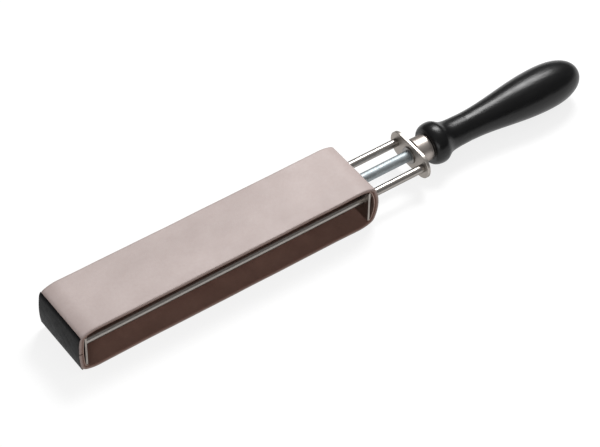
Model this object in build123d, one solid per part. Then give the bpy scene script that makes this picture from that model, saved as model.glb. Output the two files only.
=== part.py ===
"""Adjustable leather strop: a leather belt stretched by a screw handle, in millimetres.

+X runs from the far end of the belt to the tip of the handle, +Y to the rear and +Z up.
The origin is under the middle of the whole tool, on the surface that the belt lies on.
"""
from build123d import *
from math import atan, cos, degrees, pi, radians, sin, sqrt
import os

# ---- leather belt: a closed loop lying on its lower strap
belt_width = 50.0
belt_height = 38.0
leather_thickness = 2.8
shoulder_radius = 26.0      # middle of the leather where a strap starts to bend down
shoulder_angle = 22.0       # how far that slow bend turns, in degrees
corner_radius = 4.6         # middle of the leather at the tight bends
rod_clearance_in_leather = 0.5
spindle_clearance_in_leather = 0.8

# ---- thin patch glued over the joint of the belt
patch_thickness = 0.6
patch_reach_angle = 40.0    # how far the patch climbs round each tight bend, in degrees

# ---- two steel shoes, each a flat web closed by a bent bow
shoe_inset = 0.5            # how far each side of a shoe stays inside the belt's edge
web_thickness = 1.5
web_spacing = 230.0         # middle of one web to middle of the other, belt tight
bow_thickness = 0.8
far_nose_rise = 0.8         # how much the belt's end crowns between its tight bends
near_nose_rise = 2.4
far_web_offset = 1.2        # web's middle beyond the middles of the tight bends
near_web_offset = 0.3
far_shoe_clearance = 0.05
near_shoe_clearance = 0.3
shoe_hole_clearance = 0.3   # round the rods in the bow, and round the spindle in web and bow

# ---- guide rods, riveted at both ends
rod_diameter = 6.0
rod_spacing = 31.0
rod_tenon_diameter = 4.0
rivet_head_diameter = 6.4
rivet_head_height = 0.8
rod_running_clearance = 0.1

# ---- crossplate, a stadium-shaped plate on the rods
crossplate_length = 44.0
crossplate_height = 21.0
crossplate_thickness = 2.5
crossplate_from_near_web = 53.3

# ---- screw spindle, its nut and bearing
thread_diameter = 7.9
thread_clearance = 0.05
journal_diameter = 8.0
journal_clearance = 0.05
spindle_beyond_nut = 24.0
thread_beyond_near_web = 7.5
tang_length = 60.0
nut_across_flats = 13.0
nut_thickness = 6.5
ring_diameter = 13.0
ring_thickness = 1.0
ring_groove_diameter = 7.0
bearing_gap = 0.05
washer_diameter = 16.0
washer_thickness = 1.0

# ---- ferrule and turned wooden grip
ferrule_diameter = 20.0
ferrule_length = 11.3
ferrule_wall = 0.8
ferrule_end_wall = 1.2
grip_length = 137.0
grip_face_radius = 12.0
grip_collar_radius = 15.7
grip_collar_place = 7.0
grip_hollow_radius = 13.5
grip_hollow_place = 13.2
grip_fillet_radius = 11.4
grip_fillet_place = 19.0
grip_neck_radius = 10.7
grip_neck_place = 33.0
grip_belly_radius = 16.5
grip_belly_place = 104.0
grip_end_fullness = 2.3     # power of the rounded end: 2 is an ellipse, more is fuller

# ---- heights and bends worked out from the above
axis_height = belt_height / 2
shoe_width = belt_width - 2 * shoe_inset
spindle_hole = journal_diameter + 2 * shoe_hole_clearance
half_leather = leather_thickness / 2
strap_middle = belt_height / 2 - half_leather
turn = radians(shoulder_angle)
corner_height = strap_middle - shoulder_radius * (1 - cos(turn)) - corner_radius * cos(turn)


def nose_angle(rise):
    """Half the angle that the crowned nose spans, from its rise over half its chord."""
    return 2 * atan(rise / corner_height)


def nose_radius(rise):
    """Radius of the leather's middle round the nose, tangent to both tight bends."""
    return corner_radius + corner_height / sin(nose_angle(rise))


def nose_reach(rise):
    """From the middles of the tight bends out to the middle of the leather at the nose."""
    return rise + corner_radius


# ---- places along X, first from the far web and then from the tool's middle
far_end = far_web_offset - nose_reach(far_nose_rise) - half_leather - patch_thickness
crossplate_start = web_spacing + crossplate_from_near_web
washer_start = crossplate_start + crossplate_thickness + bearing_gap
ferrule_start = washer_start + washer_thickness
grip_start = ferrule_start + ferrule_length
middle = (far_end + grip_start + grip_length) / 2
far_web_x = -middle
near_web_x = far_web_x + web_spacing
far_corner_x = far_web_x + far_web_offset
near_corner_x = near_web_x - near_web_offset
crossplate_x = far_web_x + crossplate_start
washer_x = far_web_x + washer_start
ferrule_x = far_web_x + ferrule_start
grip_x = far_web_x + grip_start


def end_arcs(corner_x, rise, offset, side):
    """Shoulder, corner and nose arcs of one belt end, the leather's middle moved outwards by offset."""
    angle = nose_angle(rise)
    inward = shoulder_radius - corner_radius
    shoulder_middle = (-inward * sin(turn), corner_height - inward * cos(turn))
    nose_middle = (corner_radius - nose_radius(rise)) * cos(angle)
    corner_span = 90 - shoulder_angle - degrees(angle)
    upper = [
        CenterArc(shoulder_middle, shoulder_radius + offset, 90 - shoulder_angle, shoulder_angle),
        CenterArc((0, corner_height), corner_radius + offset, degrees(angle), corner_span),
        CenterArc((nose_middle, 0), nose_radius(rise) + offset, 0, degrees(angle)),
    ]
    both = upper + [arc.mirror(Plane.XZ) for arc in upper]
    if side < 0:
        both = [arc.mirror(Plane.YZ) for arc in both]
    return [Pos(corner_x, 0) * arc for arc in both]


def belt_outline(offset):
    """Closed outline of the loop: both ends joined by straight straps."""
    start = far_corner_x + (shoulder_radius - corner_radius) * sin(turn)
    stop = near_corner_x - (shoulder_radius - corner_radius) * sin(turn)
    level = strap_middle + offset
    edges = end_arcs(far_corner_x, far_nose_rise, offset, -1)
    edges += end_arcs(near_corner_x, near_nose_rise, offset, 1)
    edges += [Line((start, level), (stop, level)), Line((start, -level), (stop, -level))]
    return make_face(Wire(edges))


def upright(face, width):
    """A face drawn in X and Z, given a width in Y about the middle and lifted to the tool's axis."""
    return Pos(0, 0, axis_height) * extrude(Plane.XZ * face, width / 2, both=True)


def bent_strip(corner_x, rise, side, outer, inner, reach_angle):
    """A strip that follows one belt end between two offsets, up to an angle round each tight bend."""
    angle = nose_angle(rise)
    nose_middle = (corner_radius - nose_radius(rise)) * cos(angle)
    corner_span = reach_angle - degrees(angle)
    edges = []
    for offset in (outer, inner):
        corner = CenterArc((0, corner_height), corner_radius + offset, degrees(angle), corner_span)
        nose = CenterArc((nose_middle, 0), nose_radius(rise) + offset, 0, degrees(angle))
        edges += [corner, nose, corner.mirror(Plane.XZ), nose.mirror(Plane.XZ)]
    reach = radians(reach_angle)
    radii = (corner_radius + outer, corner_radius + inner)
    for way in (1, -1):
        tips = [(radius * cos(reach), way * (corner_height + radius * sin(reach))) for radius in radii]
        edges.append(Line(*tips))
    if side < 0:
        edges = [edge.mirror(Plane.YZ) for edge in edges]
    return Pos(corner_x, 0) * make_face(Wire(edges))


def bar(x, y, diameter, length):
    """A round bar along +X from x, at y, on the tool's axis height."""
    return Pos(x, y, axis_height) * Rot(0, 90, 0) * Cylinder(
        diameter / 2, length, align=(Align.CENTER, Align.CENTER, Align.MIN)
    )


def rod_holes(x, length, diameter):
    """Both guide-rod holes as solids to cut."""
    return [bar(x, way * rod_spacing / 2, diameter, length) for way in (-1, 1)]


def leather_belt():
    ring = upright(belt_outline(half_leather) - belt_outline(-half_leather), belt_width)
    rod_hole = rod_diameter + 2 * rod_clearance_in_leather
    wide_hole = journal_diameter + 2 * spindle_clearance_in_leather
    cutters = rod_holes(near_web_x, 2 * shoulder_radius, rod_hole)
    cutters.append(bar(near_web_x, 0, wide_hole, 2 * shoulder_radius))
    return ring - cutters


def end_patch():
    outer = half_leather + patch_thickness
    strip = bent_strip(far_corner_x, far_nose_rise, -1, outer, half_leather, patch_reach_angle)
    return upright(strip, belt_width)


def bow(corner_x, rise, side, clearance):
    """Steel strip under the belt's end, reaching over the web's edges."""
    outer = -half_leather - clearance
    strip = bent_strip(corner_x, rise, side, outer, outer - bow_thickness, 90)
    return upright(strip, shoe_width)


def web_height(offset, clearance):
    """Height at which a web's outer edges just touch the inside of its bow."""
    inside = corner_radius - half_leather - clearance - bow_thickness
    reach = offset + web_thickness / 2
    return 2 * (corner_height + sqrt(inside ** 2 - reach ** 2))


def web(x, height):
    return Pos(x, 0, axis_height) * Box(web_thickness, shoe_width, height)


def far_web_plate():
    plate = web(far_web_x, web_height(far_web_offset, far_shoe_clearance))
    return plate - rod_holes(far_web_x - web_thickness, 2 * web_thickness, rod_tenon_diameter)


def far_bow():
    return bow(far_corner_x, far_nose_rise, -1, far_shoe_clearance)


def near_web_plate():
    hole = rod_diameter + 2 * rod_running_clearance
    plate = web(near_web_x, web_height(near_web_offset, near_shoe_clearance))
    plate -= rod_holes(near_web_x - web_thickness, 2 * web_thickness, hole)
    return plate - bar(near_web_x - web_thickness, 0, spindle_hole, 2 * web_thickness)


def near_bow():
    strip = bow(near_corner_x, near_nose_rise, 1, near_shoe_clearance)
    length = near_web_offset + nose_reach(near_nose_rise)
    strip -= rod_holes(near_web_x, length, rod_diameter + 2 * shoe_hole_clearance)
    return strip - bar(near_web_x, 0, spindle_hole, length)


def guide_rod(way):
    """Rod with a riveted tenon through the far web and through the crossplate."""
    y = way * rod_spacing / 2
    start = far_web_x + web_thickness / 2
    rod = bar(start, y, rod_diameter, crossplate_x - start)
    rod += bar(start - web_thickness, y, rod_tenon_diameter, web_thickness)
    rod += bar(start - web_thickness - rivet_head_height, y, rivet_head_diameter, rivet_head_height)
    rod += bar(crossplate_x, y, rod_tenon_diameter, crossplate_thickness)
    return rod + bar(crossplate_x + crossplate_thickness, y, rivet_head_diameter, rivet_head_height)


def crossplate():
    outline = Plane.YZ * SlotOverall(crossplate_length, crossplate_height)
    plate = Pos(crossplate_x, 0, axis_height) * extrude(outline, crossplate_thickness)
    plate = chamfer(plate.edges().filter_by(Plane.YZ), 0.3)
    plate -= rod_holes(crossplate_x, crossplate_thickness, rod_tenon_diameter)
    return plate - bar(crossplate_x, 0, journal_diameter + 2 * journal_clearance, crossplate_thickness)


def threaded_spindle():
    """Screw inside the belt, smooth shank out to the crossplate and through it, tang in the grip."""
    start = near_web_x - web_thickness / 2 - nut_thickness - spindle_beyond_nut
    journal_start = near_web_x + thread_beyond_near_web
    screw = bar(start, 0, thread_diameter, journal_start - start)
    screw = chamfer(screw.edges().group_by(Axis.X)[0], 0.8)
    groove_start = crossplate_x - bearing_gap - ring_thickness
    groove = bar(groove_start, 0, journal_diameter + 1, ring_thickness)
    groove -= bar(groove_start, 0, ring_groove_diameter, ring_thickness)
    shank = bar(journal_start, 0, journal_diameter, grip_x + tang_length - journal_start)
    return screw + (shank - groove)


def retaining_ring():
    """Snap ring in the journal's groove, on the belt side of the crossplate."""
    start = crossplate_x - bearing_gap - ring_thickness
    return bar(start, 0, ring_diameter, ring_thickness) - bar(start, 0, ring_groove_diameter, ring_thickness)


def thrust_washer():
    hole = journal_diameter + 2 * journal_clearance
    return bar(washer_x, 0, washer_diameter, washer_thickness) - bar(washer_x, 0, hole, washer_thickness)


def ferrule():
    """Cup that stops the wood from splitting and bears on the thrust washer."""
    cup = bar(ferrule_x, 0, ferrule_diameter, ferrule_length)
    cup = chamfer(cup.edges().group_by(Axis.X)[0], 0.4)
    cup -= bar(ferrule_x + ferrule_end_wall, 0, ferrule_diameter - 2 * ferrule_wall, ferrule_length)
    return cup - bar(ferrule_x, 0, journal_diameter + 2 * journal_clearance, ferrule_length)


def spindle_nut():
    start = near_web_x - web_thickness / 2 - nut_thickness
    hexagon = Plane.YZ * RegularPolygon(nut_across_flats / 2, 6, major_radius=False, rotation=30)
    nut = Pos(start, 0, axis_height) * extrude(hexagon, nut_thickness)
    return nut - bar(start, 0, thread_diameter + 2 * thread_clearance, nut_thickness)


def belly_radius(place):
    """Neck to belly: half a cosine wave between the two radii."""
    share = (place - grip_neck_place) / (grip_belly_place - grip_neck_place)
    return grip_neck_radius + (grip_belly_radius - grip_neck_radius) * (1 - cos(pi * share)) / 2


def end_radius(place):
    """Belly to tip: a quarter of a full ellipse of the power grip_end_fullness."""
    share = (place - grip_belly_place) / (grip_length - grip_belly_place)
    return grip_belly_radius * (1 - share ** grip_end_fullness) ** (1 / grip_end_fullness)


def handle_grip():
    """Turned grip: round shoulder, collar, hollow, slim neck, full belly and round end."""
    shoulder_height = grip_collar_radius - grip_face_radius
    shoulder = EllipticalCenterArc(
        (grip_collar_place, grip_face_radius), grip_collar_place, shoulder_height, 90, arc_size=90
    )
    hollow = Spline(
        (grip_collar_place, grip_collar_radius),
        (grip_hollow_place, grip_hollow_radius),
        (grip_fillet_place, grip_fillet_radius),
        (grip_neck_place, grip_neck_radius),
        tangents=[(1, 0), (1, 0)],
    )
    belly_steps = [grip_neck_place + (grip_belly_place - grip_neck_place) * i / 6 for i in range(7)]
    belly = Spline(*[(place, belly_radius(place)) for place in belly_steps], tangents=[(1, 0), (1, 0)])
    reach = grip_length - grip_belly_place
    end_steps = [grip_belly_place + reach * sin(pi / 2 * i / 8) for i in range(8)]
    end_points = [(place, end_radius(place)) for place in end_steps] + [(grip_length, 0)]
    end = Spline(*end_points, tangents=[(1, 0), (0, -1)])
    stub_radius = ferrule_diameter / 2 - ferrule_wall
    stub_length = ferrule_length - ferrule_end_wall
    bore_radius = journal_diameter / 2
    base = Polyline(
        (grip_length, 0),
        (tang_length, 0),
        (tang_length, bore_radius),
        (-stub_length, bore_radius),
        (-stub_length, stub_radius),
        (0, stub_radius),
        (0, grip_face_radius),
    )
    outline = make_face([shoulder, hollow, belly, end, *base.edges()])
    turned = revolve(Plane.XY * outline, Axis.X)
    return Pos(grip_x, 0, axis_height) * turned


pieces = {
    "leather_belt": leather_belt(),
    "end_patch": end_patch(),
    "far_web_plate": far_web_plate(),
    "far_bow": far_bow(),
    "near_web_plate": near_web_plate(),
    "near_bow": near_bow(),
    "spindle_nut": spindle_nut(),
    "guide_rod_front": guide_rod(-1),
    "guide_rod_rear": guide_rod(1),
    "crossplate": crossplate(),
    "threaded_spindle": threaded_spindle(),
    "retaining_ring": retaining_ring(),
    "thrust_washer": thrust_washer(),
    "ferrule": ferrule(),
    "handle_grip": handle_grip(),
}

os.makedirs("parts", exist_ok=True)
for name, piece in pieces.items():
    export_step(piece, f"parts/{name}.step")
    print(name, round(piece.volume, 1))
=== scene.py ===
"""Looks of the adjustable leather strop, in metres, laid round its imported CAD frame.

A leather band is a grid of distances round the belt's loop and across its width, set out along the
loop's normals. A turned piece is a profile of radii carried round the tool's axis. Both are worked out
as whole arrays. Places come from the frame, and the bends repeat the part's own radii.
"""

from math import atan, cos, pi, radians, sin

import bpy
import numpy as np
from mathutils import Matrix, Vector


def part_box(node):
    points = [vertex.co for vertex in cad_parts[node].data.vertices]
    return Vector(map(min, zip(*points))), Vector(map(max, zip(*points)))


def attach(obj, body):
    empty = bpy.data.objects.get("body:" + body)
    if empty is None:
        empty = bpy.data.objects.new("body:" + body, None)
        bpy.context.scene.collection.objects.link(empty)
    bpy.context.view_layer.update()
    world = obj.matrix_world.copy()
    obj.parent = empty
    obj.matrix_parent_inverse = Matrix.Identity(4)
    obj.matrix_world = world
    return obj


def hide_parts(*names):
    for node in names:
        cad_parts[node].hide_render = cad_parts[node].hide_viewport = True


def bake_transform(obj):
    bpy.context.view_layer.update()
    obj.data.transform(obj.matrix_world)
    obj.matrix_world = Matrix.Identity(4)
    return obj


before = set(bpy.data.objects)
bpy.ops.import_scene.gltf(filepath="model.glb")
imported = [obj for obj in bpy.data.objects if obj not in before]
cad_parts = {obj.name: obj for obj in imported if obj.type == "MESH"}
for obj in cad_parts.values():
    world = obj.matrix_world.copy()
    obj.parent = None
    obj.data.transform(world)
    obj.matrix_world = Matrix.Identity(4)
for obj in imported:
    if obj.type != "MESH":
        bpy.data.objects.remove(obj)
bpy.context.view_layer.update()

MM = 0.001

# ---- the belt's loop, as the part has it
leather_thickness = 2.8 * MM
half_leather = leather_thickness / 2
shoulder_radius = 26.0 * MM
turn = radians(22.0)
corner_radius = 4.6 * MM
far_rise = 0.8 * MM
near_rise = 2.4 * MM
patch_thickness = 0.6 * MM
patch_reach = radians(40.0)

belt_low, belt_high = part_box("leather_belt")
half_width = (belt_high.y - belt_low.y) / 2
axis_height = (belt_high.z + belt_low.z) / 2
strap_middle = (belt_high.z - belt_low.z) / 2 - half_leather
corner_height = strap_middle - shoulder_radius * (1 - cos(turn)) - corner_radius * cos(turn)
far_corner_x = belt_low.x + half_leather + far_rise + corner_radius
near_corner_x = belt_high.x - half_leather - near_rise - corner_radius
strap_start_x = far_corner_x + (shoulder_radius - corner_radius) * sin(turn)
strap_stop_x = near_corner_x - (shoulder_radius - corner_radius) * sin(turn)

# ---- screw, rods and holes
rod_low, rod_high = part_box("guide_rod_front")
rod_y = -(rod_low.y + rod_high.y) / 2
rod_radius = 3.0 * MM
tenon_radius = 2.0 * MM
rivet_radius = 3.2 * MM
rivet_height = 0.8 * MM
rod_hole_radius = 3.5 * MM
spindle_hole_radius = 4.8 * MM
thread_radius = 3.95 * MM
thread_pitch = 1.25 * MM
thread_depth = 0.61 * thread_pitch
shank_radius = 4.0 * MM
thread_beyond_web = 7.5 * MM


# ---------------------------------------------------------------- paints and patterns

def paint(red, green, blue):
    """A screen colour of 0 to 255 a channel, as the linear colour that shaders take."""
    screen = np.array([red, green, blue]) / 255
    linear = np.where(screen <= 0.04045, screen / 12.92, ((screen + 0.055) / 1.055) ** 2.4)
    return (*linear, 1.0)


class Finish:
    """A material under way: its node tree, its shader and short ways to add patterns."""

    def __init__(self, name, colour, roughness, metallic=0.0):
        self.material = bpy.data.materials.new(name)
        self.material.use_nodes = True
        self.tree = self.material.node_tree
        self.shader = self.tree.nodes["Principled BSDF"]
        self.set("Base Color", colour)
        self.set("Roughness", roughness)
        self.set("Metallic", metallic)
        self.place = self.add("ShaderNodeTexCoord").outputs["Object"]

    def add(self, kind, **inputs):
        """A new node, with plain values or links put into its named inputs."""
        node = self.tree.nodes.new(kind)
        for name, value in inputs.items():
            self.feed(node.inputs[name], value)
        return node

    def feed(self, socket, value):
        if isinstance(value, bpy.types.NodeSocket):
            self.tree.links.new(value, socket)
        else:
            socket.default_value = value

    def set(self, socket, value):
        self.feed(self.shader.inputs[socket], value)

    def stretched(self, x, y, z):
        """The object's coordinates, squeezed so that patterns grow longer along the small numbers."""
        return self.add("ShaderNodeMapping", Vector=self.place, Scale=(x, y, z)).outputs["Vector"]

    def noise(self, scale, detail=3.0, rough=0.5, place=None):
        """Soft cloudy pattern from 0 to 1, with one cloud about every 1/scale metres."""
        node = self.add("ShaderNodeTexNoise", Scale=scale, Detail=detail, Roughness=rough)
        self.feed(node.inputs["Vector"], place or self.place)
        return node.outputs["Fac"]

    def cells(self, scale, place=None):
        """Distance to the nearest of many scattered points: small round pebbles."""
        node = self.add("ShaderNodeTexVoronoi", Scale=scale)
        self.feed(node.inputs["Vector"], place or self.place)
        return node.outputs["Distance"]

    def reading(self, name):
        """A number that the mesh carries at each point."""
        node = self.add("ShaderNodeAttribute")
        node.attribute_name = name
        return node.outputs["Fac"]

    def ranged(self, value, low, high, out_low, out_high):
        node = self.add("ShaderNodeMapRange", Value=value)
        node.inputs["From Min"].default_value = low
        node.inputs["From Max"].default_value = high
        node.inputs["To Min"].default_value = out_low
        node.inputs["To Max"].default_value = out_high
        return node.outputs["Result"]

    def sum(self, first, second, how="ADD"):
        node = self.add("ShaderNodeMath")
        node.operation = how
        self.feed(node.inputs[0], first)
        self.feed(node.inputs[1], second)
        return node.outputs[0]

    def mixed(self, share, first, second, how="MIX"):
        node = self.add("ShaderNodeMix")
        node.data_type = "RGBA"
        node.blend_type = how
        self.feed(node.inputs["Factor"], share)
        self.feed(node.inputs[6], first)
        self.feed(node.inputs[7], second)
        return node.outputs[2]

    def relief(self, height, depth, strength=1.0, over=None):
        """Bump of the given depth in metres."""
        node = self.add("ShaderNodeBump", Height=height, Distance=depth, Strength=strength)
        if over:
            self.feed(node.inputs["Normal"], over)
        return node.outputs["Normal"]


def grain_leather():
    """Smooth grain side: pinkish grey, faintly mottled, with fine pores and darker rubbed margins."""
    make = Finish("belt_grain", (0, 0, 0, 1), 0.55)
    clouds = make.ranged(make.noise(22, 4, 0.55, make.stretched(0.6, 1, 1)), 0.3, 0.7, 0, 1)
    base = make.mixed(clouds, paint(176, 161, 157), paint(194, 179, 175))
    flecks = make.ranged(make.noise(420, 5, 0.6), 0.35, 0.7, 0, 0.22)
    base = make.mixed(flecks, base, paint(170, 148, 142))
    rub = make.sum(make.reading("margin"), make.ranged(make.noise(260, 3), 0, 1, -0.0007, 0.0007))
    base = make.mixed(make.ranged(rub, 0.0002, 0.0016, 0.4, 0), base, paint(126, 106, 98))
    make.set("Base Color", base)
    make.set("Roughness", make.ranged(make.noise(90, 4), 0.2, 0.8, 0.47, 0.6))
    pores = make.relief(make.cells(1500), 0.00012, 0.25)
    make.set("Normal", make.relief(make.noise(2600, 3, 0.6), 0.00008, 0.35, pores))
    return make.material


def flesh_leather():
    """Suede side: brown, with a soft uneven nap, darker towards its margins."""
    make = Finish("belt_flesh", (0, 0, 0, 1), 0.85)
    nap = make.ranged(make.noise(70, 6, 0.65), 0.3, 0.7, 0, 1)
    base = make.mixed(nap, paint(146, 110, 97), paint(168, 130, 116))
    # Darker within 16 mm of the band's edges, ends and holes.
    margin_darkening = make.ranged(make.reading("margin"), 0.0, 0.016, 0.6, 0)
    base = make.mixed(margin_darkening, base, paint(96, 70, 60))
    fine = make.ranged(make.noise(1400, 4, 0.7), 0.3, 0.7, 0, 0.35)
    make.set("Base Color", make.mixed(fine, base, paint(126, 92, 80)))
    make.set("Normal", make.relief(make.noise(1800, 5, 0.7), 0.00025, 0.6))
    return make.material


def cut_leather():
    """Cut edge: lighter under the grain side and darker towards the flesh side; the darkening is partly the
    fibres' own tone and partly painted shade, copied from the upper strap's edge lit from above.
    """
    make = Finish("belt_cut_edge", (0, 0, 0, 1), 0.62)
    depth = make.sum(make.reading("depth"), make.ranged(make.noise(900, 4, 0.6), 0, 1, -0.12, 0.12))
    # Painted shade, in part: the edge darkens from the grain side to the flesh side, as the upper strap's
    # edge does under the top light.
    base = make.mixed(make.ranged(depth, 0.3, 1.0, 0, 1), paint(178, 154, 145), paint(134, 104, 94))
    fibres = make.ranged(make.noise(700, 6, 0.75, make.stretched(0.25, 1, 3)), 0.35, 0.65, 0, 0.5)
    make.set("Base Color", make.mixed(fibres, base, paint(88, 64, 57)))
    make.set("Normal", make.relief(make.noise(1500, 5, 0.7, make.stretched(0.3, 1, 2)), 0.0002, 0.6))
    return make.material


def black_leather():
    """Dyed patch: near black, satin, with a fine pebble."""
    make = Finish("patch_grain", (0, 0, 0, 1), 0.42)
    make.set("Specular IOR Level", 0.05)
    clouds = make.ranged(make.noise(60, 4, 0.6), 0.3, 0.7, 0, 1)
    make.set("Base Color", make.mixed(clouds, paint(9, 9, 10), paint(22, 22, 24)))
    make.set("Roughness", make.ranged(make.noise(200, 4), 0.2, 0.8, 0.36, 0.52))
    pebble = make.relief(make.cells(1000), 0.0002, 0.5)
    make.set("Normal", make.relief(make.noise(320, 4, 0.6), 0.0003, 0.4, pebble))
    return make.material


def patch_edge():
    """Undyed core that shows along the patch's cut sides."""
    make = Finish("patch_cut_edge", (0, 0, 0, 1), 0.7)
    make.set("Base Color", make.mixed(make.noise(800, 3), paint(140, 122, 116), paint(172, 156, 150)))
    return make.material


def nickel(name, colour, smooth, hazy, brushing):
    """Nickel plate: warm, darker at grazing angles, with brushing lines and a haze of the given range."""
    make = Finish(name, colour, smooth, 1.0)
    make.set("Specular Tint", (0.25, 0.25, 0.25, 1))
    haze = make.noise(120, 4, 0.6)
    make.set("Roughness", make.ranged(haze, 0.25, 0.75, smooth, hazy))
    lines = make.noise(3500, 2, 0.5, make.stretched(*brushing))
    make.set("Normal", make.relief(lines, 0.00001, 0.4))
    return make.material


def blue_zinc():
    """Zinc plate: cool grey with cloudy bluish spangle."""
    make = Finish("zinc", (0, 0, 0, 1), 0.4, 1.0)
    make.set("Specular Tint", (0.35, 0.35, 0.35, 1))
    clouds = make.ranged(make.noise(260, 5, 0.6), 0.3, 0.7, 0, 1)
    make.set("Base Color", make.mixed(clouds, paint(152, 160, 163), paint(174, 181, 184)))
    make.set("Roughness", make.ranged(make.noise(400, 4), 0.25, 0.75, 0.5, 0.62))
    make.set("Normal", make.relief(make.noise(2500, 3), 0.00002, 0.4))
    return make.material


def strip_steel(name, clean, stained, metallic=1.0):
    """Cold-rolled strip: grey, stained in clouds, with rolling lines along the strip's width."""
    make = Finish(name, (0, 0, 0, 1), 0.34, metallic)
    stains = make.ranged(make.noise(150, 5, 0.6), 0.35, 0.75, 0, 1)
    make.set("Base Color", make.mixed(stains, clean, stained))
    lines = make.noise(2400, 3, 0.6, make.stretched(1, 0.04, 1))
    make.set("Roughness", make.ranged(lines, 0.3, 0.7, 0.26, 0.44))
    make.set("Normal", make.relief(lines, 0.00002, 0.5))
    return make.material


def dark_steel():
    """Oiled spring steel of the snap ring and the washer."""
    make = Finish("spring_steel", (0, 0, 0, 1), 0.38, 1.0)
    make.set("Base Color", make.mixed(make.noise(500, 4), paint(120, 118, 116), paint(152, 149, 146)))
    make.set("Normal", make.relief(make.noise(2500, 3), 0.00002, 0.4))
    return make.material


def black_lacquer():
    """Lacquer over turned wood: near black and glossy, with the grain telegraphing through."""
    make = Finish("black_lacquer", (0, 0, 0, 1), 0.3)
    grain = make.noise(420, 5, 0.65, make.stretched(0.06, 1, 1))
    streaks = make.ranged(grain, 0.35, 0.7, 0, 1)
    make.set("Base Color", make.mixed(streaks, paint(3, 3, 4), paint(11, 11, 12)))
    make.set("Specular IOR Level", 0.32)
    make.set("Roughness", make.ranged(make.noise(130, 4, 0.6), 0.25, 0.75, 0.26, 0.36))
    swells = make.relief(make.noise(260, 3, 0.6, make.stretched(0.3, 1, 1)), 0.0003, 0.5)
    make.set("Normal", make.relief(grain, 0.00012, 0.5, swells))
    return make.material


# ---------------------------------------------------------------- meshes

def piece_from(name, points, face_blocks, materials, kinds=None, body="frame", slot=None, replaced=()):
    """A smooth closed mesh from blocks of equal-sided faces, riding on a body in place of its CAD nodes."""
    mesh = bpy.data.meshes.new(name)
    sizes = np.concatenate([np.full(len(block), block.shape[1], np.int32) for block in face_blocks])
    corners = np.concatenate([block.ravel() for block in face_blocks]).astype(np.int32)
    mesh.vertices.add(len(points))
    mesh.vertices.foreach_set("co", np.asarray(points, np.float32).ravel())
    mesh.loops.add(len(corners))
    mesh.loops.foreach_set("vertex_index", corners)
    mesh.polygons.add(len(sizes))
    mesh.polygons.foreach_set("loop_start", np.concatenate([[0], np.cumsum(sizes)[:-1]]).astype(np.int32))
    mesh.polygons.foreach_set("use_smooth", np.ones(len(sizes), bool))
    for material in materials:
        mesh.materials.append(material)
    if kinds is not None:
        mesh.polygons.foreach_set("material_index", np.asarray(kinds, np.int32))
    mesh.update(calc_edges=True)
    mesh.validate()
    piece = bpy.data.objects.new(name, mesh)
    bpy.context.scene.collection.objects.link(piece)
    if body:
        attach(piece, body)
    if replaced:
        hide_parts(*replaced)
    return piece


def carry(piece, name, values):
    """Gives each point of a piece a number under a name, for its materials to read."""
    attribute = piece.data.attributes.new(name, "FLOAT", "POINT")
    attribute.data.foreach_set("value", np.asarray(values, np.float32))


# ---------------------------------------------------------------- leather bands

def nose_angle(rise):
    """Half the angle that a crowned nose spans, from its rise over half its chord."""
    return 2 * atan(rise / corner_height)


def nose_radius(rise):
    """Radius of the leather's middle round a nose, tangent to both tight bends."""
    return corner_radius + corner_height / sin(nose_angle(rise))


def loop_stretches():
    """Length and radius of each stretch, clockwise from the middle of the far nose; 0 marks a straight."""
    far, near = nose_angle(far_rise), nose_angle(near_rise)
    over = [
        (nose_radius(far_rise) * far, nose_radius(far_rise)),
        (corner_radius * (pi / 2 - turn - far), corner_radius),
        (shoulder_radius * turn, shoulder_radius),
        (strap_stop_x - strap_start_x, 0),
        (shoulder_radius * turn, shoulder_radius),
        (corner_radius * (pi / 2 - turn - near), corner_radius),
        (nose_radius(near_rise) * near, nose_radius(near_rise)),
    ]
    return over + over[::-1]


stretches = loop_stretches()
loop_length = sum(length for length, _ in stretches)


def loop_frame(distance):
    """Place (x, z) and outward normal at distances round the loop.

    Along a stretch the heading falls by the distance over the radius, and the place is the integral of
    the heading's cosine and sine.
    """
    distance = np.mod(distance, loop_length)
    place = np.zeros((len(distance), 2))
    heading = np.zeros(len(distance))
    corner = np.array([belt_low.x + half_leather, axis_height])
    way, done = pi / 2, 0.0
    for length, radius in stretches:
        here = (distance >= done) & (distance <= done + length)
        step = distance[here] - done
        if radius:
            headings = way - step / radius
            place[here, 0] = corner[0] + radius * (sin(way) - np.sin(headings))
            place[here, 1] = corner[1] + radius * (np.cos(headings) - cos(way))
            next_way = way - length / radius
            corner = corner + radius * np.array([sin(way) - sin(next_way), cos(next_way) - cos(way)])
        else:
            headings = way
            place[here, 0] = corner[0] + step * cos(way)
            place[here, 1] = corner[1] + step * sin(way)
            next_way = way
            corner = corner + length * np.array([cos(way), sin(way)])
        heading[here] = headings
        way, done = next_way, done + length
    normal = np.stack([-np.sin(heading), np.cos(heading)], axis=1)
    return place, normal


def edge_steps(start, stop, margin, count):
    """Lines from start to stop, evenly spaced inside and gathered towards both ends."""
    near_edge = margin * np.array([0, 0.06, 0.2, 0.4, 0.7])
    inner = np.linspace(start + margin, stop - margin, count)
    return np.concatenate([start + near_edge, inner, (stop - near_edge)[::-1]])


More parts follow.
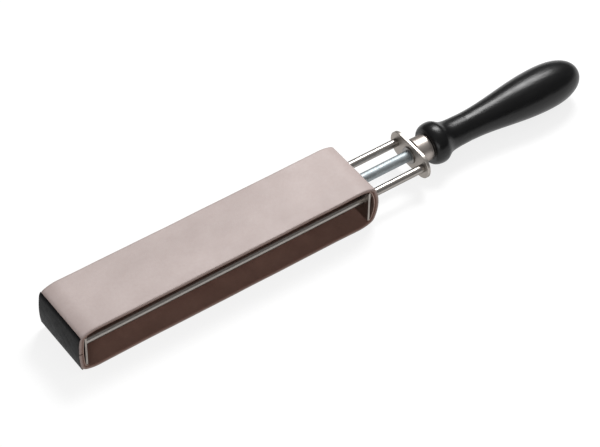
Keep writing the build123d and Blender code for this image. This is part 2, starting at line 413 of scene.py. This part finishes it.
def flat_grid(along, across, holes=()):
    """Points and quads of a grid of lines, its middle cells opened round the holes.

    Each hole has a block of the grid to itself. The block's rim stays, and rings of quads shrink from
    it to the hole's circle, so that every point of the rim meets the grid.
    """
    rows, columns = len(along), len(across)
    points = np.stack(np.meshgrid(along, across, indexing="ij"), axis=-1).reshape(-1, 2)
    index = np.arange(rows * columns).reshape(rows, columns)
    quads = np.stack([index[:-1, :-1], index[1:, :-1], index[1:, 1:], index[:-1, 1:]], axis=-1)
    keep = np.ones((rows - 1, columns - 1), bool)
    extra_quads = []
    for (middle_along, middle_across, radius, half_along, half_across) in holes:
        first, last = np.searchsorted(along, middle_along + half_along * np.array([-1, 1]) - 1e-7)
        left, right = np.searchsorted(across, middle_across + half_across * np.array([-1, 1]) - 1e-7)
        keep[first:last, left:right] = False
        block = index[first:last + 1, left:right + 1]
        rim = np.concatenate([block[:-1, 0], block[-1, :-1], block[:0:-1, -1], block[0, :0:-1]])
        away = points[rim] - (middle_along, middle_across)
        angle = np.arctan2(away[:, 1], away[:, 0])
        circle = radius * np.stack([np.cos(angle), np.sin(angle)], axis=1)
        shares = np.array([0.45, 0.75, 0.9, 0.97, 1.0])
        rings = [rim]
        for share in shares:
            ring_points = (middle_along, middle_across) + away * (1 - share) + circle * share
            rings.append(len(points) + np.arange(len(rim)))
            points = np.concatenate([points, ring_points])
        for outer, inner in zip(rings[:-1], rings[1:]):
            extra_quads.append(np.stack([outer, np.roll(outer, -1), np.roll(inner, -1), inner], axis=-1))
    quads = np.concatenate([quads[keep].reshape(-1, 4)] + extra_quads)
    used = np.unique(quads)
    renumber = np.full(len(points), -1)
    renumber[used] = np.arange(len(used))
    return points[used], renumber[quads]


def rounded(distance, radius):
    """How far a surface drops where its distance from an edge is under the radius: a quarter circle."""
    short = np.clip(radius - distance, 0, radius)
    return radius - np.sqrt(radius ** 2 - short ** 2)


def open_rims(quads):
    """The edges that belong to one quad only, each in that quad's own direction."""
    edges = np.concatenate([np.stack([quads[:, i], quads[:, (i + 1) % 4]], axis=1) for i in range(4)])
    code = edges.min(axis=1) * (quads.max() + 1) + edges.max(axis=1)
    _, where, count = np.unique(code, return_index=True, return_counts=True)
    return edges[where[count == 1]]


def leather_band(name, along, across, holes, inside, outside, round_edge, wave, finishes, **riding):
    """A closed band of leather between two offsets from the loop's middle line.

    Outer and inner skins share one flat grid. Near an edge or a hole both skins drop by a quarter
    circle, and a wall joins them all round.
    """
    flat, quads = flat_grid(along, across, holes)
    distance, side = flat[:, 0], flat[:, 1]
    margin = np.minimum(side - across[0], across[-1] - side)
    margin = np.minimum(margin, np.minimum(distance - along[0], along[-1] - distance))
    for (middle_along, middle_across, radius, _, _) in holes:
        gap = np.hypot(distance - middle_along, side - middle_across) - radius
        margin = np.minimum(margin, np.maximum(gap, 0) * 1.2)
    drop = rounded(margin, round_edge)
    place, normal = loop_frame(distance)
    lift = wave(distance, side)
    skins = []
    for offset in (outside - drop + lift, inside + drop + lift):
        skins.append(np.stack([
            place[:, 0] + normal[:, 0] * offset, side, place[:, 1] + normal[:, 1] * offset], axis=1))
    count = len(flat)
    rims = open_rims(quads)
    walls = np.stack([rims[:, 1], rims[:, 0], rims[:, 0] + count, rims[:, 1] + count], axis=1)
    faces = np.concatenate([quads, quads[:, ::-1] + count, walls])
    kinds = np.repeat([0, 1, 2], [len(quads), len(quads), len(walls)])
    piece = piece_from(name, np.concatenate(skins), [faces], finishes, kinds, **riding)
    carry(piece, "margin", np.tile(margin, 2))
    carry(piece, "depth", np.repeat([0.0, 1.0], count))
    return piece


def belt_wave(distance, side):
    """Slow unevenness of the two straps: crossing sine waves, inwards only, and still at the bends."""
    along = distance / loop_length * 2 * pi
    across = side / half_width
    wave = 0.10 * np.sin(3 * along + 0.6) + 0.07 * np.sin(7 * along + 2 * across)
    wave += 0.05 * np.sin(13 * along - 1.7 * across + 1.0) - 0.10 * across ** 2 - 0.22
    folded = np.minimum(distance, loop_length - distance)
    strap_from = sum(length for length, _ in stretches[:3])
    strap_to = strap_from + stretches[3][0]
    calm = np.clip(np.minimum(folded - strap_from, strap_to - folded) / (20 * MM), 0, 1)
    return wave * MM * calm


def make_belt():
    """The belt: one strap round the loop, its ends meeting in the middle of the far nose."""
    joint_gap = 1.2 * MM
    nose_at = loop_length / 2
    cell = 6.0 * MM
    steps = [edge_steps(joint_gap / 2, 1.6 * MM, 0.7 * MM, 3)[:-5]]
    done = 0.0
    for length, radius in stretches:
        spacing = 3.0 * MM if radius == 0 else min(1.5 * MM, max(radius * 0.12, 0.5 * MM))
        steps.append(np.linspace(done, done + length, max(2, int(length / spacing) + 1)))
        done += length
    steps.append(loop_length - steps[0])
    along = np.concatenate(steps)
    along = along[(along >= joint_gap / 2) & (along <= loop_length - joint_gap / 2)]
    along = along[np.abs(along - nose_at) > cell + 0.3 * MM]
    along = np.concatenate([along, np.linspace(nose_at - cell, nose_at + cell, 9)])
    along = np.unique(np.round(along, 6))
    rod_cell = 4.8 * MM
    inner = [
        np.linspace(-rod_y - rod_cell, -rod_y + rod_cell, 9),
        np.linspace(-cell, cell, 9),
        np.linspace(rod_y - rod_cell, rod_y + rod_cell, 9),
        np.array([-8.4, 8.4]) * MM,
    ]
    margins = half_width - np.array([0, 0.03, 0.1, 0.22, 0.4, 0.65, 1.1, 1.9, 3.2]) * MM
    across = np.unique(np.round(np.concatenate(inner + [margins, -margins]), 6))
    holes = [
        (nose_at, -rod_y, rod_hole_radius, cell, rod_cell),
        (nose_at, 0.0, spindle_hole_radius, cell, cell),
        (nose_at, rod_y, rod_hole_radius, cell, rod_cell),
    ]
    belt = leather_band(
        "leather_belt_looks", along, across, holes, -half_leather, half_leather, 0.65 * MM, belt_wave,
        [grain_leather(), flesh_leather(), cut_leather()],
        body=None, slot="belt_leather", replaced=["leather_belt"])
    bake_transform(belt)
    return belt


def patch_wave(distance, side):
    """Slight unevenness of the glued patch: a sine wave along it times one across it."""
    return 0.06 * MM * np.sin(distance / (4 * MM)) * np.sin(side / (7 * MM))


def make_patch():
    """The patch: a thin band glued over the joint, as far round each tight bend as its reach."""
    far = nose_angle(far_rise)
    reach = nose_radius(far_rise) * far + corner_radius * (patch_reach - far)
    along = edge_steps(-reach, reach, 0.8 * MM, 40)
    across = edge_steps(-half_width, half_width, 0.8 * MM, 30)
    return leather_band(
        "end_patch_looks", along, across, [], half_leather, half_leather + patch_thickness, 0.25 * MM,
        patch_wave,
        [black_leather(), patch_edge(), patch_edge()],
        body="frame", slot="patch_leather", replaced=["end_patch"])


# ---------------------------------------------------------------- turned pieces

def held(profile):
    """A profile with two more points close to the ends of every long step, so that steps shade flat."""
    start, stop = profile[:-1], profile[1:]
    step = np.hypot(*(stop - start).T)
    share = np.minimum(0.08 * MM / np.maximum(step, 1e-9), 0.5)[:, None]
    thirds = np.stack([start, start + (stop - start) * share, stop - (stop - start) * share], axis=1)
    keep = np.stack([np.ones(len(step), bool), step > 0.8 * MM, step > 0.8 * MM], axis=1)
    return np.concatenate([thirds[keep], profile[-1:]])


def turned(name, places, radii, y, segments, finish, **riding):
    """A closed turned piece about the tool's axis or a line beside it.

    Places run along X. Radii may be one number a place, or one a place and angle. The first and the
    last ring close on a point of the axis.
    """
    angle = np.arange(segments) * 2 * pi / segments
    radii = np.broadcast_to(np.asarray(radii).reshape(len(places), -1), (len(places), segments))
    rings = np.stack([
        np.broadcast_to(np.asarray(places)[:, None], radii.shape),
        y + radii * np.cos(angle),
        axis_height + radii * np.sin(angle)], axis=-1).reshape(-1, 3)
    poles = [[places[0], y, axis_height], [places[-1], y, axis_height]]
    index = np.arange(len(places) * segments).reshape(len(places), segments)
    ahead = np.roll(index, -1, axis=1)
    sides = np.stack([index[:-1], ahead[:-1], ahead[1:], index[1:]], axis=-1).reshape(-1, 4)
    first, last = len(rings), len(rings) + 1
    start_cap = np.stack([np.full(segments, first), ahead[0], index[0]], axis=1)
    stop_cap = np.stack([np.full(segments, last), index[-1], ahead[-1]], axis=1)
    faces = [start_cap, sides[:, ::-1], stop_cap]
    return piece_from(name, np.concatenate([rings, poles]), faces, [finish], **riding)


def arc(middle, radius, start, stop, count=7):
    """Places and radii on a round stretch of a profile, between two angles in degrees."""
    angle = np.radians(np.linspace(start, stop, count))
    return np.stack([middle[0] + radius * np.cos(angle), middle[1] + radius * np.sin(angle)], axis=1)


def make_rod(way):
    """Guide rod: shoulders against web and crossplate, tenons through them and domed rivet heads."""
    name = "guide_rod_front" if way < 0 else "guide_rod_rear"
    low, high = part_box(name)
    web_low, web_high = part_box("far_web_plate")
    plate_low, plate_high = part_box("crossplate")
    soft = 0.25 * MM
    dome = rivet_height
    share = np.sin(np.linspace(0.15, 1, 6) * pi / 2)
    far_dome = np.stack([low.x + dome * (1 - np.sqrt(1 - share ** 2 * 0.99)), rivet_radius * share], axis=1)
    near_dome = far_dome[::-1] * (-1, 1) + (low.x + high.x, 0)
    profile = np.concatenate([
        far_dome,
        [[web_low.x, rivet_radius], [web_low.x, tenon_radius], [web_high.x, tenon_radius]],
        [[web_high.x, rod_radius - soft], [web_high.x + soft, rod_radius]],
        [[plate_low.x - soft, rod_radius], [plate_low.x, rod_radius - soft]],
        [[plate_low.x, tenon_radius], [plate_high.x, tenon_radius], [plate_high.x, rivet_radius]],
        near_dome,
    ])
    profile = held(profile)
    return turned(
        name + "_looks", profile[:, 0], profile[:, 1], way * rod_y, 48, rod_finish,
        body="frame", slot="nickel_plate", replaced=[name])


def thread_radii(places, start, stop, angle):
    """Radius of a right-hand thread: crest less the depth of a flat-topped wave.

    The wave's phase is the place over the pitch less the angle over a turn. It fades out over the last
    pitch before the shank, and a chamfer cuts the free end.
    """
    phase = np.mod(places[:, None] / thread_pitch + angle[None, :] / (2 * pi), 1.0)
    groove = np.clip((0.5 - np.abs(phase - 0.5)) * 2 * 1.45 - 0.2, 0, 1)
    fade = np.clip((stop - places) / (1.5 * thread_pitch), 0, 1)[:, None]
    radii = thread_radius - thread_depth * groove * fade
    chamfer = thread_radius - thread_depth * 1.2 + (places - start)[:, None]
    return np.minimum(radii, chamfer)


def make_spindle():
    """Screw, smooth shank, ring groove and tang, in one turned piece."""
    low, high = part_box("threaded_spindle")
    web_low, web_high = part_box("near_web_plate")
    ring_low, ring_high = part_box("retaining_ring")
    stop = (web_low.x + web_high.x) / 2 + thread_beyond_web
    segments = 48
    angle = np.arange(segments) * 2 * pi / segments
    screw = np.arange(low.x, stop, thread_pitch / 12)
    screw_radii = thread_radii(screw, low.x, stop, angle)
    groove_radius = 3.5 * MM
    soft = 0.15 * MM
    rest = np.array([
        [stop, shank_radius - soft], [stop + soft, shank_radius],
        [ring_low.x, shank_radius], [ring_low.x, groove_radius],
        [ring_high.x, groove_radius], [ring_high.x, shank_radius],
        [high.x - soft, shank_radius], [high.x, shank_radius - soft]])
    rest = held(rest)
    places = np.concatenate([screw, rest[:, 0]])
    radii = np.concatenate([screw_radii, np.repeat(rest[:, 1:], segments, axis=1)])
    return turned(
        "threaded_spindle_looks", places, radii, 0.0, segments, zinc,
        body="handle", slot="zinc_steel", replaced=["threaded_spindle"])


def make_ferrule():
    """Ferrule: rounded end wall round the journal, straight side and a small rolled rim at the wood."""
    low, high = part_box("ferrule")
    radius = (high.z - low.z) / 2
    hole = 4.05 * MM
    wall = 0.8 * MM
    end_wall = 1.2 * MM
    bend = 0.7 * MM
    rim = 0.35 * MM
    profile = np.concatenate([
        [[low.x + end_wall, hole], [low.x, hole + 0.1 * MM]],
        arc((low.x + bend, radius - bend), bend, 180, 90),
        [[high.x - 3.2 * rim, radius - 0.05 * MM]],
        arc((high.x - rim, radius - rim), rim, 110, 0),
        [[high.x, radius - wall], [low.x + end_wall, radius - wall]],
    ])
    return ring_piece("ferrule_looks", held(profile), 96, ferrule_finish, body="handle", slot="nickel_plate",
                      replaced=["ferrule"])


def ring_piece(name, profile, segments, finish, **riding):
    """A turned piece with a hole: its closed profile is carried round the tool's axis."""
    angle = np.arange(segments) * 2 * pi / segments
    places, radii = profile[:, 0], profile[:, 1]
    points = np.stack([
        np.repeat(places, segments),
        (radii[:, None] * np.cos(angle)).ravel(),
        axis_height + (radii[:, None] * np.sin(angle)).ravel()], axis=1)
    index = np.arange(len(places) * segments).reshape(len(places), segments)
    ahead = np.roll(index, -1, axis=1)
    after, after_ahead = np.roll(index, -1, axis=0), np.roll(ahead, -1, axis=0)
    faces = np.stack([index, after, after_ahead, ahead], axis=-1).reshape(-1, 4)
    return piece_from(name, points, [faces], [finish], **riding)


def grip_radius(place):
    """Radius of the grip at a place along it, in millimetres from the ferrule.

    A quarter ellipse up to the collar, a bell down to the neck, half a cosine wave up to the belly and
    a full quarter ellipse down to the tip.
    """
    face, collar, neck, belly = 12.0, 15.7, 10.7, 16.5
    collar_at, neck_at, belly_at, length = 7.0, 33.0, 104.0, 137.0
    shoulder = face + (collar - face) * np.sqrt(np.clip(1 - ((collar_at - place) / collar_at) ** 2, 0, 1))
    bell = neck + (collar - neck) / (1 + (np.clip(place - collar_at, 0, None) / 6.8) ** 3.2)
    swell = neck + (belly - neck) * (1 - np.cos(pi * (place - neck_at) / (belly_at - neck_at))) / 2
    share = np.clip((place - belly_at) / (length - belly_at), 0, 1)
    tip = belly * (1 - share ** 2.3) ** (1 / 2.3)
    return np.select([place < collar_at, place < neck_at, place < belly_at], [shoulder, bell, swell], tip)


def make_grip():
    """Grip: bore, stub inside the ferrule, then the turned outside to the tip."""
    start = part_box("ferrule")[1].x
    length = (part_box("handle_grip")[1].x - start) / MM
    rising = 7.0 * (1 - np.cos(np.linspace(0, 1, 14) * pi / 2))
    steady = np.linspace(7.6, 104, 120)
    falling = 104 + (length - 104) * np.sin(np.linspace(0.02, 0.996, 44) * pi / 2)
    outside = np.concatenate([rising, steady, falling])
    stub = np.array([
        [60.0, 0.4], [60.0, 4.0], [-10.1, 4.0], [-10.1, 8.9], [-9.8, 9.15], [0, 9.15], [0, 11.8]])
    places = np.concatenate([stub[:, 0], outside]) * MM + start
    radii = np.concatenate([stub[:, 1], grip_radius(outside)]) * MM
    return turned(
        "handle_grip_looks", places, radii, 0.0, 96, black_lacquer(),
        body="handle", slot="lacquered_wood", replaced=["handle_grip"])


# ---------------------------------------------------------------- kept CAD nodes

def finish_node(name, finish):
    """Gives a CAD node whose shape is right its finish."""
    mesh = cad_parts[name].data
    mesh.materials.clear()
    mesh.materials.append(finish)


# ---------------------------------------------------------------- studio

def make_floor():
    """A wide pale floor: white to the eye and in reflections, with the object's soft shadow."""
    size = 12.0
    mesh = bpy.data.meshes.new("studio_floor")
    corners = [(-size, -size, 0), (size, -size, 0), (size, size, 0), (-size, size, 0)]
    mesh.from_pydata(corners, [], [(0, 1, 2, 3)])
    floor = bpy.data.objects.new("studio_floor", mesh)
    bpy.context.scene.collection.objects.link(floor)
    make = Finish("studio_white", (0.25, 0.25, 0.25, 1), 0.9)
    rays = make.add("ShaderNodeLightPath").outputs
    seen = make.sum(make.sum(rays["Is Camera Ray"], rays["Is Glossy Ray"], "MAXIMUM"),
                    rays["Is Transmission Ray"], "MAXIMUM")
    make.set("Emission Color", (1, 1, 1, 1))
    make.set("Emission Strength", make.ranged(seen, 0, 1, 0.18, 0.8))
    make.set("Specular IOR Level", 0.0)
    mesh.materials.append(make.material)


def soft_lamp(name, place, target, width, depth, power):
    """A rectangular soft lamp that faces a point."""
    lamp = bpy.data.lights.new(name, "AREA")
    lamp.shape = "RECTANGLE"
    lamp.size, lamp.size_y, lamp.energy = width, depth, power
    holder = bpy.data.objects.new(name, lamp)
    holder.location = place
    holder.rotation_mode = "QUATERNION"
    holder.rotation_quaternion = (Vector(target) - Vector(place)).to_track_quat("-Z", "Y")
    bpy.context.scene.collection.objects.link(holder)


def make_world():
    """A dim room, darker towards the horizon than overhead."""
    world = bpy.data.worlds.new("studio")
    world.use_nodes = True
    world.node_tree.nodes["Background"].inputs["Color"].default_value = (1, 1, 1, 1)
    tree = world.node_tree
    direction = tree.nodes.new("ShaderNodeTexCoord").outputs["Generated"]
    split = tree.nodes.new("ShaderNodeSeparateXYZ")
    tree.links.new(direction, split.inputs["Vector"])
    rising = tree.nodes.new("ShaderNodeMapRange")
    tree.links.new(split.outputs["Z"], rising.inputs["Value"])
    rising.inputs["From Min"].default_value = 0.1
    rising.inputs["From Max"].default_value = 0.95
    rising.inputs["To Min"].default_value = 0.12
    rising.inputs["To Max"].default_value = 0.45
    tree.links.new(rising.outputs["Result"], tree.nodes["Background"].inputs["Strength"])
    bpy.context.scene.world = world


def make_camera():
    """A long lens from above the far end's left, with a slight roll."""
    azimuth, elevation, roll = radians(-36.424), radians(46.778), radians(1.34)
    target = Vector((-0.0253, 0.0, 0.0056))
    away = 1.7749
    back = Vector((sin(azimuth) * cos(elevation), -cos(azimuth) * cos(elevation), sin(elevation)))
    level = Vector((cos(azimuth), sin(azimuth), 0))
    upward = back.cross(level)
    right = cos(roll) * level + sin(roll) * upward
    up = cos(roll) * upward - sin(roll) * level
    lens = bpy.data.cameras.new("camera")
    lens.lens, lens.sensor_width = 153.66, 36.0
    lens.clip_start, lens.clip_end = 0.05, 50.0
    camera = bpy.data.objects.new("camera", lens)
    facing = Matrix((right, up, back)).transposed().to_4x4()
    camera.matrix_world = Matrix.Translation(target + back * away) @ facing
    bpy.context.scene.collection.objects.link(camera)
    bpy.context.scene.camera = camera


rod_finish = nickel("rod_nickel", paint(160, 155, 150), 0.28, 0.38, (0.05, 1, 1))
ferrule_finish = nickel("ferrule_nickel", paint(176, 168, 162), 0.36, 0.48, (1, 0.06, 0.06))
plate_finish = nickel("crossplate_nickel", paint(176, 170, 164), 0.36, 0.46, (1, 0.1, 1))
zinc = blue_zinc()
web_steel = strip_steel("web_steel", paint(158, 152, 146), paint(132, 124, 117))
# The bows take a dull brownish tone, matching the brown that the hollow inside each end shows.
bow_steel = strip_steel("bow_steel", paint(150, 122, 110), paint(120, 96, 86), 0.4)
spring = dark_steel()

make_belt()
make_patch()
make_rod(-1)
make_rod(1)
make_spindle()
make_ferrule()
make_grip()
finish_node("crossplate", plate_finish)
finish_node("spindle_nut", zinc)
for end in ("far", "near"):
    finish_node(end + "_web_plate", web_steel)
    finish_node(end + "_bow", bow_steel)
for small_ring in ("retaining_ring", "thrust_washer"):
    finish_node(small_ring, spring)

make_floor()
make_world()
soft_lamp("overhead", (0.60, 0.48, 1.06), (0.0, 0.0, 0.0), 0.55, 0.42, 15.0)
soft_lamp("front_fill", (-0.9, -1.1, 0.55), (0.0, 0.0, 0.0), 0.9, 0.6, 5.0)
make_camera()
bpy.context.scene.view_settings.view_transform = "Standard"
